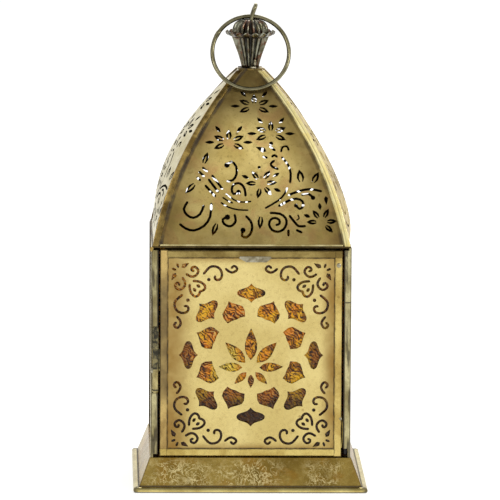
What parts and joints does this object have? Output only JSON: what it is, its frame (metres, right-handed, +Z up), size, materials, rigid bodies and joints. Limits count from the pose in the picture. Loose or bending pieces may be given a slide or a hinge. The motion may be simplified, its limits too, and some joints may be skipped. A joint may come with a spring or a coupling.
{
  "type": "pierced brass candle lantern",
  "caption": "Square pierced-brass candle lantern with a flared plinth, amber glass behind cut-out walls, a side-hinged door, a curved roof, a fluted finial and a swinging carry ring.",
  "frame": {"origin": "middle of the square hem's underside, on the table", "axes": "+Z up along the lantern's axis, -Y out of the door, -X towards the hinge"},
  "size_m": [0.138, 0.138, 0.2829],
  "materials": {
    "wall_brass": "satin",
    "roof_brass": "satin",
    "plinth_brass": "stained satin",
    "finial_brass": "satin",
    "strip_brass": "satin",
    "dark_brass": "tarnished",
    "solder_tab": "tinned",
    "amber_glass": "hammered"
  },
  "bodies": {
    "lantern": {"plinth_skirt": "plinth_brass", "plinth_hem": "plinth_brass", "floor_plate": "dark_brass", "candle_cup": "dark_brass", "post_front_left": "strip_brass", "post_front_right": "strip_brass", "post_rear_left": "strip_brass", "post_rear_right": "strip_brass", "jamb_bead_left": "strip_brass", "jamb_bead_right": "strip_brass", "eave_frame": "dark_brass", "wall_left": "wall_brass", "wall_right": "wall_brass", "wall_rear": "wall_brass", "glass_left": "amber_glass", "glass_right": "amber_glass", "glass_rear": "amber_glass", "glass_clips": "dark_brass", "roof_front": "roof_brass", "roof_left": "roof_brass", "roof_right": "roof_brass", "roof_rear": "roof_brass", "ridge_front_left": "strip_brass", "ridge_front_right": "strip_brass", "ridge_rear_left": "strip_brass", "ridge_rear_right": "strip_brass", "crown_plate": "finial_brass", "finial_cone": "finial_brass", "finial_brim": "finial_brass", "finial_dome": "finial_brass", "ring_eye": "finial_brass", "eye_washer": "finial_brass", "hinge_post_knuckles": "dark_brass", "hinge_pin": "dark_brass"},
    "door": {"door_panel": "wall_brass", "door_glass": "amber_glass", "door_stile_left": "strip_brass", "door_stile_right": "strip_brass", "door_rail_top": "strip_brass", "door_rail_bottom": "strip_brass", "hinge_door_knuckle": "strip_brass", "door_stud": "strip_brass", "catch_spring": "dark_brass", "door_tab": "solder_tab"},
    "ring": {"carry_ring": "finial_brass"}
  },
  "joints": [
    {"name": "door_hinge", "type": "hinge", "parent": "lantern", "child": "door", "pos_m": [-0.0561, -0.059, 0.0818], "axis": [0, 0, -1], "range_deg": [0, 140]},
    {"name": "ring_swing", "type": "hinge", "parent": "lantern", "child": "ring", "pos_m": [0, 0, 0.27496], "axis": [-1, 0, 0], "range_deg": [0, 310]}
  ]
}
